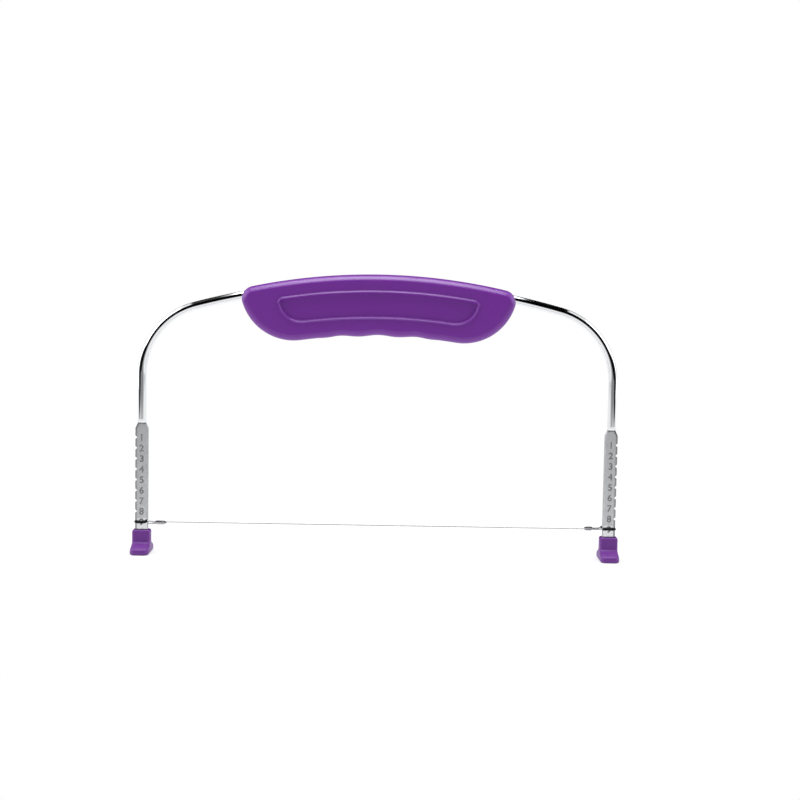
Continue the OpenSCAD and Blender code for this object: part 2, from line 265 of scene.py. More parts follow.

# Notched edge of the leg and the step atop its flat: darker grey, painted shade on the teeth's
# flanks and under the step.
NOTCH_EDGE_SHADE = Finish(
    "notched_edge_painted_shade", "#77787B", "#5C5D61", 1.2, 0.45, 0.06,
    grain_mm=(0.45, 0.45, 0.45), grain_depth_mm=0.01,
)

# Injection-moulded ABS with a satin face: even purple, soft highlights along its edges.
# The satin texture is drawn about twice as coarse as the real one.
GRIP_ABS = Finish(
    "satin_moulded_abs", "#6A208E", "#651D88", 14, 0.35, 0.03,
    grain_mm=(0.35, 0.35, 0.35), grain_depth_mm=0.004,
    wave_mm=11, wave_depth_mm=0.02, metallic=0.0,
)

# Softer moulded polypropylene on the feet: a shade warmer and slightly waxy.
FOOT_PP = Finish(
    "moulded_polypropylene", "#652584", "#5F207E", 6, 0.46, 0.04,
    grain_mm=(0.35, 0.35, 0.35), grain_depth_mm=0.006,
    wave_mm=5, wave_depth_mm=0.02, metallic=0.0, ior=1.49,
)

# Drawn stainless wire: bright, with fine lines along its length.
DRAWN_WIRE = Finish(
    "drawn_stainless_wire", "#A4A5A8", "#929396", 3, 0.28, 0.05,
    grain_mm=(4, 0.08, 0.08), grain_depth_mm=0.002,
)

# Thicker wire of the end loops, dulled where it was bent.
LOOP_WIRE = Finish(
    "bent_stainless_wire", "#B4B5B8", "#97989B", 1.5, 0.34, 0.06,
    grain_mm=(2, 0.1, 0.1), grain_depth_mm=0.003,
)

# The strand behind the left leg: brighter wire, a painted highlight.
STRAND_HIGHLIGHT_WIRE = Finish(
    "stainless_wire_painted_highlight", "#F0F1F3", "#D6D7DA", 1.5, 0.42, 0.06,
    grain_mm=(2, 0.1, 0.1), grain_depth_mm=0.003,
)

# Crimped aluminium, dulled by the pliers: grey with small dents.
CRIMPED_ALUMINIUM = Finish(
    "crimped_aluminium", "#C8C9CC", "#9C9DA1", 1.2, 0.3, 0.06,
    grain_mm=(0.5, 0.5, 0.5), grain_depth_mm=0.03,
)

# Bands along the ferrule's upper side and its underside: darker grey, painted dark reflection
# on the curved metal.
FERRULE_SHADE = Finish(
    "crimped_aluminium_painted_shade", "#77787C", "#606165", 1.0, 0.4, 0.06,
    grain_mm=(0.4, 0.4, 0.4), grain_depth_mm=0.02,
)

# Heat-shrunk polyolefin tube: near black, with a soft sheen.
BLACK_SLEEVE = Finish(
    "heat_shrunk_polyolefin", "#020202", "#060607", 1.0, 0.62, 0.06,
    grain_mm=(0.3, 0.3, 0.3), grain_depth_mm=0.01, metallic=0.0, ior=1.35,
)

# Inside the stamped figures: dark grey, matt and patchy, painted shade in the recesses.
STAMP_SHADE = Finish(
    "stamped_marks_painted_shade", "#505155", "#A6A7AA", 1.3, 0.7, 0.1, metallic=0.4
)

# Zinc-plated steel screw: pale, slightly yellow, with a turned face.
ZINC_PLATE = Finish(
    "zinc_plated_steel", "#C9C8C2", "#B4B3AE", 1.5, 0.3, 0.06,
    grain_mm=(0.3, 2, 0.3), grain_depth_mm=0.004,
)


# Mesh helpers


def shift(x: float = 0.0, y: float = 0.0, z: float = 0.0) -> Matrix:
    """Returns the matrix that moves things by x, y and z."""
    return Matrix.Translation((x, y, z))


def eased(share: float) -> float:
    """Returns a share from 0 to 1 with a slow start and a slow end."""
    return share * share * (3 - 2 * share)


@dataclass
class Rim:
    """An ordered ring or chain of vertices that is extruded step by step into a skin."""

    bm: BMesh
    verts: list[BMVert]

    @classmethod
    def circle(cls, bm: BMesh, radius: float, sides: int, at: Matrix) -> "Rim":
        """Starts a rim as a circle round the local z axis of a placing matrix."""
        made = bmesh.ops.create_circle(bm, radius=radius, segments=sides, matrix=at)
        return cls(bm, made["verts"])

    def edges(self) -> list[BMEdge]:
        """Returns the edges that join the rim's own vertices, in the order of these."""
        own = set(self.verts)
        joined = (e for v in self.verts for e in v.link_edges if e.other_vert(v) in own)
        return list(dict.fromkeys(joined))

    def extruded(self) -> "Rim":
        """Extrudes the rim in place and returns the new rim in the same order."""
        own = set(self.verts)
        made = bmesh.ops.extrude_edge_only(self.bm, edges=self.edges())["geom"]
        twin = {
            edge.other_vert(vert): vert
            for vert in made if isinstance(vert, BMVert)
            for edge in vert.link_edges if edge.other_vert(vert) in own
        }
        return Rim(self.bm, [twin[v] for v in self.verts])

    def move(self, matrix: Matrix) -> "Rim":
        """Transforms the rim's vertices and returns the rim."""
        bmesh.ops.transform(self.bm, matrix=matrix, verts=self.verts)
        return self

    def put(self, points: Iterable[Vector]) -> "Rim":
        """Puts each vertex on its own point and returns the rim."""
        for vert, point in zip(self.verts, points, strict=True):
            vert.co = point
        return self

    def points(self) -> list[Vector]:
        """Returns copies of the rim's points."""
        return [v.co.copy() for v in self.verts]

    def close(self) -> None:
        """Fills the rim with one face."""
        bmesh.ops.contextual_create(self.bm, geom=self.verts + self.edges())

    def prism(self, matrix: Matrix) -> None:
        """Makes a closed prism from the rim to where a matrix moves it."""
        self.close()
        self.extruded().move(matrix).close()


def fill_between(bm: BMesh, outer: Rim, inner: Rim) -> None:
    """Fills the flat band between two rims in one plane."""
    bmesh.ops.triangle_fill(bm, use_beauty=True, edges=outer.edges() + inner.edges())


def as_mesh(name: str, bm: BMesh) -> Mesh:
    """Turns a bmesh into a named mesh, frees it and returns the mesh."""
    mesh = bpy.data.meshes.new(name)
    bm.to_mesh(mesh)
    bm.free()
    return mesh


def linked(name: str, data: ID) -> Object:
    """Links a new object with these data to the scene and returns it."""
    made = bpy.data.objects.new(name, data)
    bpy.context.scene.collection.objects.link(made)
    return made


def evaluated_mesh(piece: Object) -> Mesh:
    """Returns a new mesh of an object as its modifiers or its curve make it."""
    bpy.context.view_layer.update()
    graph = bpy.context.evaluated_depsgraph_get()
    return bpy.data.meshes.new_from_object(piece.evaluated_get(graph))


def shade(piece: Object) -> None:
    """Shades a piece smooth, with its sharper edges left crisp."""
    piece.data.shade_smooth()
    piece.data.set_sharp_from_angle(angle=SMOOTH_ANGLE)


def finished_object(name: str, bm: BMesh, *finishes: Finish) -> Object:
    """Turns a mesh under construction into an object with smooth shading and crisp edges.

    Args:
        name: The object's name.
        bm: The mesh, which is freed.
        finishes: Its finishes, in the order of the faces' material numbers.

    Returns:
        The object, linked to the scene.
    """
    bmesh.ops.remove_doubles(bm, verts=bm.verts[:], dist=WELD)
    bmesh.ops.recalc_face_normals(bm, faces=bm.faces[:])
    piece = linked(name, as_mesh(name, bm))
    for finish in finishes:
        piece.data.materials.append(finish.material())
    shade(piece)
    return piece


def carve(piece: Object, cutters: Sequence[Object], crossing: bool = False) -> None:
    """Cuts shapes out of a piece and removes the cutters.

    Args:
        piece: The piece that is cut.
        cutters: Closed meshes to cut away.
        crossing: Whether a cutter may cross itself.
    """
    for cutter in cutters:
        cut = piece.modifiers.new(cutter.name, "BOOLEAN")
        cut.operation = "DIFFERENCE"
        cut.solver = "EXACT"
        cut.use_self = crossing
        cut.material_mode = "TRANSFER"
        cut.object = cutter
    carved = evaluated_mesh(piece)
    carved.name = piece.name
    piece.modifiers.clear()
    piece.data = carved
    shade(piece)
    for cutter in cutters:
        bpy.data.objects.remove(cutter)


def place(piece: Object, body: Body, slot: str, *replaced: str) -> None:
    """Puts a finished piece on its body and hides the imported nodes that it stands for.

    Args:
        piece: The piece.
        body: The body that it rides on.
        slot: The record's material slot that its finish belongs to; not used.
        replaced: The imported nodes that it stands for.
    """
    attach(piece, body.value)
    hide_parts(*replaced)
    log.info("%s: %d faces on %s", piece.name, len(piece.data.polygons), body.value)


def path_frames(path: Sequence[Vector]) -> list[Matrix]:
    """Works out where a tube's rings go along a path that stays nearly level.

    Args:
        path: The points of the tube's centre line.

    Returns:
        One placing matrix for each point, with its z axis along the path.
    """
    frames = []
    for i, point in enumerate(path):
        ahead = (path[min(i + 1, len(path) - 1)] - path[max(i - 1, 0)]).normalized()
        across = ahead.cross(Z_AXIS).normalized()
        turn = Matrix((across, across.cross(ahead), ahead)).transposed().to_4x4()
        frames.append(Matrix.Translation(point) @ turn)
    return frames


def sweep_tube(bm: BMesh, path: Sequence[Vector], radius: float, sides: int) -> None:
    """Sweeps a closed round tube along a path.

    Args:
        bm: The mesh that gets the tube.
        path: The points of its centre line.
        radius: Its radius.
        sides: Its number of sides.
    """
    frames = path_frames(path)
    first, last = frames[0], frames[-1]
    rim = Rim.circle(bm, radius * TUBE_END, sides, first)
    rim.close()
    rim = rim.extruded().move(first @ Matrix.Scale(1 / TUBE_END, 4) @ first.inverted())
    for before, after in pairwise(frames):
        rim = rim.extruded().move(after @ before.inverted())
    rim.extruded().move(last @ Matrix.Scale(TUBE_END, 4) @ last.inverted()).close()


# Sizes that the pieces share


@dataclass
class Layout:
    """Sizes that several pieces share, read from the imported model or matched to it."""

    half_span: float = field(init=False)
    crown_top: float = field(init=False)
    wire_z: float = field(init=False)
    rod_r: float = 2.4 * MM
    grip_above_rod: float = 5.4 * MM
    leg_w: float = 7.4 * MM
    leg_t: float = 2.4 * MM
    notch_count: int = 9
    notch_pitch: float = 5.95 * MM
    notch_depth: float = 1.05 * MM

    def __post_init__(self) -> None:
        """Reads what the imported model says."""
        foot_low, foot_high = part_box("right_foot")
        wire_low, wire_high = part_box("cutting_wire")
        self.half_span = (foot_low.x + foot_high.x) / 2
        self.wire_z = (wire_low.z + wire_high.z) / 2
        self.crown_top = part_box("handle_front_shell")[1].z

    @property
    def rod_top(self) -> float:
        """Height of the rod's centre line at the crown."""
        return self.crown_top - self.grip_above_rod

    def notch_heights(self) -> list[float]:
        """Returns the heights of the notches, from the lowest up."""
        return [self.wire_z + i * self.notch_pitch for i in range(self.notch_count)]


# The bow


@dataclass
class StampedDigits:
    """The digits beside the notches on the front face of a leg, 1 at the top."""

    layout: Layout
    side: Side
    height: float = 3.6 * MM
    width: float = 2.3 * MM
    boldness: float = 0.03
    proud: float = 0.3 * MM
    sunk: float = 0.12 * MM
    weld: float = 0.002

    def stamp(self) -> Object:
        """Makes the shape that one leg's digits are pressed in with.

        Returns:
            Closed solid digits that stand across the leg's front face.
        """
        bm = bmesh.new()
        x, y = self.side.value * self.layout.half_span, -self.layout.leg_t / 2
        for i, z in enumerate(self.layout.notch_heights()):
            self._digit(bm, str(self.layout.notch_count - i), Vector((x, y, z)))
        # The figures carry the painted shade into the recesses that they carve
        return finished_object(f"{self.side.word}_stamped_digits", bm, STAMP_SHADE)

    def _digit(self, bm: BMesh, digit: str, centre: Vector) -> None:
        """Adds one digit to the mesh.

        Args:
            bm: The mesh that gets the digit.
            digit: The digit's character.
            centre: Its middle, on the leg's face.
        """
        curve = bpy.data.curves.new("digit", "FONT")
        curve.body = digit
        curve.resolution_u = 6
        mesh = evaluated_mesh(linked("digit", curve))
        low, high = ([pick(v.co[k] for v in mesh.vertices) for k in (0, 1)] for pick in (min, max))
        tall = self.height / (high[1] - low[1])
        wide = min(tall, self.width / (high[0] - low[0]))
        flat = bmesh.new()
        flat.from_mesh(mesh)
        bmesh.ops.remove_doubles(flat, verts=flat.verts[:], dist=self.weld)
        bmesh.ops.dissolve_degenerate(flat, dist=self.weld, edges=flat.edges[:])
        self._embolden(flat)
        made = bmesh.ops.extrude_face_region(flat, geom=flat.faces[:])["geom"]
        upper = [g for g in made if isinstance(g, BMVert)]
        bmesh.ops.translate(flat, verts=upper, vec=Z_AXIS)
        matrix = (
            Matrix.Translation(centre + self.sunk * Y_AXIS)
            @ Matrix.Rotation(QUARTER_TURN, 4, "X")
            @ Matrix.Diagonal((wide, tall, self.proud + self.sunk, 1))
            @ shift(-(low[0] + high[0]) / 2, -(low[1] + high[1]) / 2)
        )
        bmesh.ops.transform(flat, matrix=matrix, verts=flat.verts[:])
        flat.to_mesh(mesh)
        flat.free()
        bm.from_mesh(mesh)
        bpy.data.curves.remove(curve)
        bpy.data.meshes.remove(mesh)

    def _embolden(self, flat: BMesh) -> None:
        """Makes a flat digit's strokes wider.

        Args:
            flat: The digit's flat mesh, of which each vertex lies on an outline.
        """
        ways = {vert: Vector() for vert in flat.verts}
        for edge in flat.edges:
            if edge.is_boundary:
                a, b = (v.co for v in edge.verts)
                across = (b - a).cross(Z_AXIS).normalized()
                middle = edge.link_faces[0].calc_center_median()
                outward = across if across.dot(a - middle) > 0 else -across
                for vert in edge.verts:
                    ways[vert] += outward
        for vert, way in ways.items():
            vert.co += self.boldness * way.normalized()


@dataclass
class Bow:
    """The bent rod with its two flattened, notched legs."""

    layout: Layout
    crown_r: float = 385 * MM
    corner_r: float = 40.4 * MM
    leg_head: float = 8 * MM
    shoulder_h: float = 2.8 * MM
    pinch_h: float = 1.6 * MM
    leg_end_z: float = 2 * MM
    notch_root_r: float = 0.7 * MM
    notch_mouth: float = 2.5 * MM
    sides: int = 48
    crown_steps: int = 20
    corner_steps: int = 36
    straight_steps: int = 12
    # Shares of the leg's half thickness within which its edges carry painted shade
    edge_share: float = 0.86
    rounded_share: float = 0.985
    # Height above the wire up to which the leg's faces carry the painted highlight
    highlight_h: float = 2.1 * MM
    bend_lead: float = 0.8 * MM
    pinch_lead: float = 0.3 * MM
    bright_share: float = 0.3
    step_h: float = 0.1 * MM
    top_ring: float = 0.2 * MM
    shoulder_ring: float = 0.25 * MM
    # Shares of the pinch's height, from its top, and how flat the rod is pressed there
    pinch: tuple[tuple[float, float], ...] = (
        (0, 0.04), (0.25, 0.2), (0.75, 0.8), (0.95, 0.98), (1, 1)
    )
    # Distances in millimetres of the leg's rings from the middle of a notch
    notch_rings: tuple[float, ...] = (0, 0.25, 0.45, 0.6, 0.68, 0.78, 0.9, 1.05, 1.25)

    @property
    def crown_centre_z(self) -> float:
        """Height of the crown arc's centre."""
        return self.layout.rod_top - self.crown_r

    @property
    def corner_x(self) -> float:
        """Distance of a corner arc's centre from the middle."""
        return self.layout.half_span - self.corner_r

    @property
    def crown_half_angle(self) -> float:
        """Half the angle of the crown arc."""
        return asin(self.corner_x / (self.crown_r - self.corner_r))

    @property
    def corner_z(self) -> float:
        """Height of the corner arcs' centres."""
        reach = self.crown_r - self.corner_r
        return self.crown_centre_z + reach * cos(self.crown_half_angle)

    @property
    def leg_top(self) -> float:
        """Height at which the flattened part of the leg begins."""
        return self.layout.notch_heights()[-1] + self.leg_head

    def rod_height(self, x: float) -> float:
        """Returns the height of the rod's centre line on the crown at a distance x."""
        return self.crown_centre_z + sqrt(self.crown_r**2 - x**2)

    def section(self, angle: float, width: float) -> Vector:
        """Returns a point of the flattened leg's cross-section.

        Args:
            angle: The point's angle on the round rod that the section was pressed from.
            width: Width of the section here.

        Returns:
            The point, about the leg's centre line, with z = 0.
        """
        half_t = self.layout.leg_t / 2
        core = width / 2 - half_t
        c, s = cos(angle), sin(angle)
        if abs(c) >= sqrt(0.5):
            turn = 2 * asin(s)
            across = copysign(1, c) * (core + half_t * cos(turn))
            return Vector((across, half_t * sin(turn), 0))
        return Vector((core * c / sqrt(0.5), copysign(half_t, s), 0))

    def notch_limit(self, height: float) -> float:
        """Works out how far the leg's outer edge reaches at a height.

        Args:
            height: Height above the table.

        Returns:
            The largest distance from the leg's centre line.
        """
        layout = self.layout
        edge = layout.leg_w / 2
        step = round((height - layout.wire_z) / layout.notch_pitch)
        if not 0 <= step < layout.notch_count:
            return edge
        away = abs(height - layout.wire_z - step * layout.notch_pitch)
        root = edge - layout.notch_depth
        if away <= self.notch_root_r:
            return root + self.notch_root_r - sqrt(self.notch_root_r**2 - away**2)
        open_h = self.notch_mouth / 2 - self.notch_root_r
        left = 1 - min(1.0, (away - self.notch_root_r) / open_h)
        return edge - left**2 * (edge - root - self.notch_root_r)

    def ring_heights(self) -> list[float]:
        """Returns the heights of the flattened leg's rings, from its top down."""
        heights = {
            self.leg_top - self.shoulder_h,
            self.leg_top - self.shoulder_h - self.shoulder_ring,
            self.leg_top - self.top_ring,
            self.layout.wire_z + self.highlight_h,
        }
        for centre in self.layout.notch_heights():
            heights |= {centre + sign * ring * MM for ring in self.notch_rings for sign in (-1, 1)}
        return sorted({round(height, 7) for height in heights} | {self.leg_end_z}, reverse=True)

    def width_at(self, height: float) -> float:
        """Returns the flattened leg's width at a height, with its sloping shoulders."""
        rod_w = 2 * self.layout.rod_r
        share = min(1.0, (self.leg_top - height) / self.shoulder_h)
        return rod_w + share * (self.layout.leg_w - rod_w)

    def build(self) -> None:
        """Builds the bow, half of it by turns and extrusions, then its mirror image."""
        bm = bmesh.new()
        start = shift(z=self.layout.rod_top) @ Matrix.Rotation(QUARTER_TURN, 4, "Y")
        rim = Rim.circle(bm, self.layout.rod_r, self.sides, start)
        for x, z, angle, steps in (
            (0, self.crown_centre_z, self.crown_half_angle, self.crown_steps),
            (self.corner_x, self.corner_z, QUARTER_TURN - self.crown_half_angle,
             self.corner_steps),
        ):
            step = shift(x, 0, z) @ Matrix.Rotation(angle / steps, 4, "Y") @ shift(-x, 0, -z)
            for _ in range(steps):
                rim = rim.extruded().move(step)
        self._leg(bm, rim)
        for face in bm.faces:
            face.material_index = self._finish_at(face.calc_center_median())
        whole = bm.verts[:] + bm.edges[:] + bm.faces[:]
        bmesh.ops.mirror(bm, geom=whole, matrix=Matrix(), merge_dist=WELD, axis="X")
        piece = finished_object(
            "plated_bow", bm, BRIGHT_PLATE, PRESSED_PLATE, NOTCH_EDGE_SHADE, LOOP_HIGHLIGHT_PLATE, PLAIN_EDGE_SHADE
        )
        carve(piece, [StampedDigits(self.layout, side).stamp() for side in Side], crossing=True)
        place(piece, Body.FRAME, "rod_chrome", "bow_rod")

    def _finish_at(self, middle: Vector) -> int:
        """Picks the finish of a face.

        Args:
            middle: The face's middle.

        Returns:
            0 on the bright rod, 1 on the flattened leg, 2 on its notched edge and at its step
            (painted shade), 3 on the stretch round the loop (painted highlight), 4 on its plain
            edge and rounded corners (painted shade).
        """
        if middle.z > self.leg_top + self.bright_share * self.pinch_h:
            return 0
        if middle.z > self.leg_top - self.step_h:
            return 2
        outer = abs(middle.x) > self.layout.half_span
        off_centre = abs(middle.y) / (self.layout.leg_t / 2)
        if off_centre < self.edge_share:
            return 2 if outer else 4
        if outer and off_centre < self.rounded_share:
            return 4
        return 3 if middle.z < self.layout.wire_z + self.highlight_h else 1

    def _leg(self, bm: BMesh, rim: Rim) -> None:
        """Carries the rod down into the pinched and flattened leg.

        Args:
            bm: The bow's mesh.
            rim: The rod's lowest ring, where its bend ends.
        """
        layout = self.layout
        axis = Vector((layout.half_span, 0, 0))
        angles = [atan2(v.co.y, v.co.x - layout.half_span) for v in rim.verts]
        rod = [Vector((layout.rod_r * cos(a), layout.rod_r * sin(a), 0)) for a in angles]
        flat = [self.section(a, 2 * layout.rod_r) for a in angles]
        pinch_top = self.leg_top + self.pinch_h
        straight = (self.corner_z - pinch_top - self.bend_lead) / self.straight_steps
        for height, flatness in (
            *((self.corner_z - straight * i, 0) for i in range(1, self.straight_steps + 1)),
            (pinch_top + self.pinch_lead, 0),
            *((pinch_top - share * self.pinch_h, flatness) for share, flatness in self.pinch),
        ):
            both = zip(rod, flat, strict=True)
            rim = rim.extruded().put(axis + r.lerp(f, flatness) + height * Z_AXIS for r, f in both)
        for height in self.ring_heights():
            limit = self.notch_limit(height)
            points = [self.section(a, self.width_at(height)) for a in angles]
            rim = rim.extruded().put(axis + Vector((min(p.x, limit), p.y, height)) for p in points)
        rim.close()


# The grip


@dataclass
class Outline(Rim):
    """A rim drawn from arcs, which knows the way inwards at each of its vertices."""

    inward: list[Vector]

    def drawn_in(self, inset: float, way_y: Vector = Vector()) -> "Outline":
        """Moves each vertex inwards, and all by one vector, and returns the outline."""
        points = zip(self.points(), self.inward, strict=True)
        self.put(p + inset * way + way_y for p, way in points)
        return self

    def step(self, inset: float, y: float) -> "Outline":
        """Extrudes the outline to a new plane, draws it in and returns the new outline."""
        fresh = Outline(self.bm, self.extruded().verts, self.inward)
        fresh.put(Vector((p.x, 0, p.z)) for p in self.points())
        return fresh.drawn_in(inset, y * Y_AXIS)


@dataclass(frozen=True)
class ArchedBar:
    """Outline of an arched bar with rounded ends, made of arcs that meet smoothly."""

    centre_z: float
    top_r: float
    height: float
    lobe_half: float
    flank_r: float
    nose_r: float
    bottom_steps: int
    nose_steps: int = 12
    flank_steps: int = 20
    top_steps: int = 48

    @property
    def bottom_r(self) -> float:
        """Radius of the arched underside."""
        return self.top_r - self.height

    @staticmethod
    def on_arc(centre: Vector, radius: float, angle: float) -> Vector:
        """Returns the point of an arc at an angle clockwise from straight up."""
        return centre + radius * Vector((sin(angle), 0, cos(angle)))

    def arcs(self) -> tuple[Vector, list[tuple[Vector, float, int]]]:
        """Works out the arcs, clockwise from the right nose.

        Returns:
            The first point, and each arc's centre, angle and number of steps.
        """
        hub = Vector((0, 0, self.centre_z))
        flank_reach = self.bottom_r + self.flank_r
        nose_reach = self.top_r - self.nose_r
        lobe = asin(self.lobe_half / flank_reach)
        flank = self.on_arc(hub, flank_reach, lobe)
        apart = self.flank_r - self.nose_r
        cosine = (nose_reach**2 + flank_reach**2 - apart**2) / (2 * nose_reach * flank_reach)
        nose_angle = lobe + acos(cosine)
        nose = self.on_arc(hub, nose_reach, nose_angle)
        turn = atan2(nose.x - flank.x, nose.z - flank.z)
        nose_arc = turn - nose_angle
        flank_arc = pi + lobe - turn
        return self.on_arc(nose, self.nose_r, nose_angle), [
            (nose, nose_arc, self.nose_steps),
            (flank, flank_arc, self.flank_steps),
            (hub, -2 * lobe, self.bottom_steps),
            (Vector((-flank.x, 0, flank.z)), flank_arc, self.flank_steps),
            (Vector((-nose.x, 0, nose.z)), nose_arc, self.nose_steps),
            (hub, 2 * nose_angle, self.top_steps),
        ]

    def draw(self, bm: BMesh, y: float) -> Outline:
        """Draws the outline with one spin for each arc.

        Args:
            bm: The mesh that gets the outline.
            y: The plane that it lies in.

        Returns:
            The outline, with the inward direction at each vertex.
        """
        start, arcs = self.arcs()
        chain = [bm.verts.new(start + y * Y_AXIS)]
        inward = []
        for centre, angle, steps in arcs:
            hub = centre + y * Y_AXIS
            toward = 1 if angle > 0 else -1
            before = set(bm.verts)
            bmesh.ops.spin(
                bm, geom=[chain[-1]], cent=hub, axis=Y_AXIS, dvec=Vector(), angle=angle,
                steps=steps, use_duplicate=False,
            )
            inward.append(toward * (hub - chain[-1].co).normalized())
            fresh = set(bm.verts) - before
            while fresh:
                nearby = (edge.other_vert(chain[-1]) for edge in chain[-1].link_edges)
                vert = next(v for v in nearby if v in fresh)
                fresh.discard(vert)
                chain.append(vert)
                inward.append(toward * (hub - vert.co).normalized())
            inward.pop()
        bmesh.ops.weld_verts(bm, targetmap={chain[-1]: chain[0]})
        return Outline(bm, chain[:-1], inward)


@dataclass
class Grip:
    """The two moulded shells of the grip and the screws that close it."""

    layout: Layout
    bow: Bow
    top_r: float = 330 * MM
    height: float = 34 * MM
    thickness: float = 22 * MM
    lobe_span: float = 94.2 * MM
    flank_r: float = 29.7 * MM
    nose_r: float = 6.9 * MM
    edge_r: float = 3.6 * MM
    edge_depth: float = 4 * MM
    edge_flatness: float = 1.3
    edge_steps: int = 14
    face_hold: float = 0.4 * MM
    draft: float = 0.3 * MM
    seam: float = 0.14 * MM
    groove_depth: float = 0.85 * MM
    groove_pitch: float = 21 * MM
    groove_reach: float = 1.15
    groove_fade: float = 0.45
    bead_inset: float = 9.5 * MM
    bead_w: float = 1.9 * MM
    bead_h: float = 0.95 * MM
    bead_power: float = 1.3
    bead_steps: int = 10
    bead_hold: float = 0.35 * MM
    recess_h: float = 14.4 * MM
    recess_span: float = 84.6 * MM
    recess_flank_r: float = 13 * MM
    recess_nose_r: float = 2.6 * MM
    recess_depth: float = 0.9 * MM
    mouth_gap: float = 0.16 * MM
    well_l: float = 8 * MM
    screw_x: float = 64.5 * MM
    screw_drop: float = 8 * MM
    mid_screw_drop: float = 15 * MM
    screw_sink: float = 2 * MM
    screw_head_r: float = 2.7 * MM
    screw_head_h: float = 2 * MM
    screw_shank_r: float = 1.45 * MM
    well_gap: float = 0.3 * MM
    # Distances in millimetres from the middle that the cutter of the rod's mouth runs through
    mouth_reach: tuple[float, ...] = (60, 70, 75, 80, 86)
    # Steps in millimetres down the recess's wall: how far in, and how far above the floor
    recess_wall: tuple[tuple[float, float], ...] = (
        (0.12, 0.45), (0.1, 0.15), (0.12, 0.03), (0.2, 0.0)
    )

    @property
    def face(self) -> float:
        """Distance of the grip's faces from the parting plane."""
        return self.thickness / 2

    @property
    def seat(self) -> float:
        """Distance of the screws' seats from the parting plane."""
        return self.face - self.screw_sink - self.screw_head_h

    @property
    def bar(self) -> ArchedBar:
        """Outline of the whole grip."""
        return ArchedBar(
            self.layout.crown_top - self.top_r, self.top_r, self.height, self.lobe_span / 2,
            self.flank_r, self.nose_r, bottom_steps=80,
        )

    @property
    def recess(self) -> ArchedBar:
        """Outline along the crest of the bead round the recess."""
        return ArchedBar(
            self.layout.crown_top - self.top_r, self.top_r - self.bead_inset, self.recess_h,
            self.recess_span / 2, self.recess_flank_r, self.recess_nose_r, bottom_steps=48,
        )

    def groove(self, x: float) -> float:
        """Returns how far a finger groove draws the underside in at a distance x."""
        pitch = self.groove_pitch
        past = (abs(x) - self.groove_reach * pitch) / (self.groove_fade * pitch)
        fade = 1 - min(1.0, max(0.0, past))
        return self.groove_depth / 2 * cos(2 * pi * x / pitch) * fade

    def shell(self, half: Half) -> Object:
        """Builds one shell from the parting plane to the floor of its recess.

        Args:
            half: Which half of the grip it is.

        Returns:
            The shell's object.
        """
        bm = bmesh.new()
        side = half.value
        rim = self.bar.draw(bm, 0)
        for vert, way in zip(rim.verts, rim.inward, strict=True):
            away = hypot(vert.co.x, vert.co.z - self.bar.centre_z)
            if abs(away - self.bar.bottom_r) < 0.01 * MM:
                vert.co += self.groove(vert.co.x) * way
        rim.drawn_in(self.seam).close()
        rim = rim.step(-self.seam, side * self.seam)
        straight = self.face - self.edge_depth
        rim = rim.step(self.draft, side * straight)
        done = 0.0
        for i in range(1, self.edge_steps + 1):
            turn = QUARTER_TURN * i / self.edge_steps
            inset = (self.edge_r - self.draft) * (1 - cos(turn) ** self.edge_flatness)
            depth = straight + self.edge_depth * sin(turn) ** self.edge_flatness
            rim = rim.step(inset - done, side * depth)
            done = inset
        rim = rim.step(self.face_hold, side * self.face)
        fill_between(bm, rim, self._bead(bm, side))
        piece = finished_object(f"grip_{half.name.lower()}_shell", bm, GRIP_ABS)
        cutters = [self._rod_cutter(s) for s in Side]
        if half is Half.REAR:
            cutters += [self._well_cutter(x, z) for x, z in self.screw_sites()]
        carve(piece, cutters)
        return piece

    def _bead(self, bm: BMesh, side: int) -> Outline:
        """Builds the bead, the wall of the recess and its floor.

        Args:
            bm: The shell's mesh.
            side: The sign of y on this shell's side.

        Returns:
            The outermost outline, which lies in the shell's face.
        """
        outer = self.recess.draw(bm, side * self.face).drawn_in(-self.bead_w / 2 - self.bead_hold)
        rim = outer.step(self.bead_hold, side * self.face)
        for i in range(1, self.bead_steps + 1):
            off_crest = abs(2 * i / self.bead_steps - 1)
            height = self.bead_h * (1 - off_crest**self.bead_power)
            rim = rim.step(self.bead_w / self.bead_steps, side * (self.face + height))
        floor_y = side * (self.face - self.recess_depth)
        for inset, above in self.recess_wall:
            rim = rim.step(inset * MM, floor_y + side * above * MM)
        rim = rim.step(self.bead_hold, floor_y)
        bmesh.ops.triangle_fill(bm, use_beauty=True, edges=rim.edges())
        return outer

    def screw_sites(self) -> list[tuple[float, float]]:
        """Returns x and z of each screw, from left to right."""
        end_z = self.bow.rod_height(self.screw_x) - self.screw_drop
        mid_z = self.layout.rod_top - self.mid_screw_drop
        return [(-self.screw_x, end_z), (0.0, mid_z), (self.screw_x, end_z)]

    def _rod_cutter(self, side: Side) -> Object:
        """Makes the shape of the mouth that the rod leaves the grip through.

        Args:
            side: Which end of the grip it is for.

        Returns:
            A closed tube round the rod, a little wider than it.
        """
        bm = bmesh.new()
        reach = [x * MM for x in self.mouth_reach]
        path = [Vector((side.value * x, 0, self.bow.rod_height(x))) for x in reach]
        sweep_tube(bm, path, self.layout.rod_r + self.mouth_gap, 48)
        return finished_object(f"rod_mouth_{side.word}", bm, GRIP_ABS)

    def _well_cutter(self, x: float, z: float) -> Object:
        """Makes the shape of the well round a screw's head.

        Args:
            x: The screw's place across the grip.
            z: The screw's height.

        Returns:
            A closed cylinder along y.
        """
        bm = bmesh.new()
        at = shift(x, self.seat, z) @ Matrix.Rotation(-QUARTER_TURN, 4, "X")
        Rim.circle(bm, self.screw_head_r + self.well_gap, 64, at).prism(shift(y=self.well_l))
        return finished_object("screw_well", bm, GRIP_ABS)

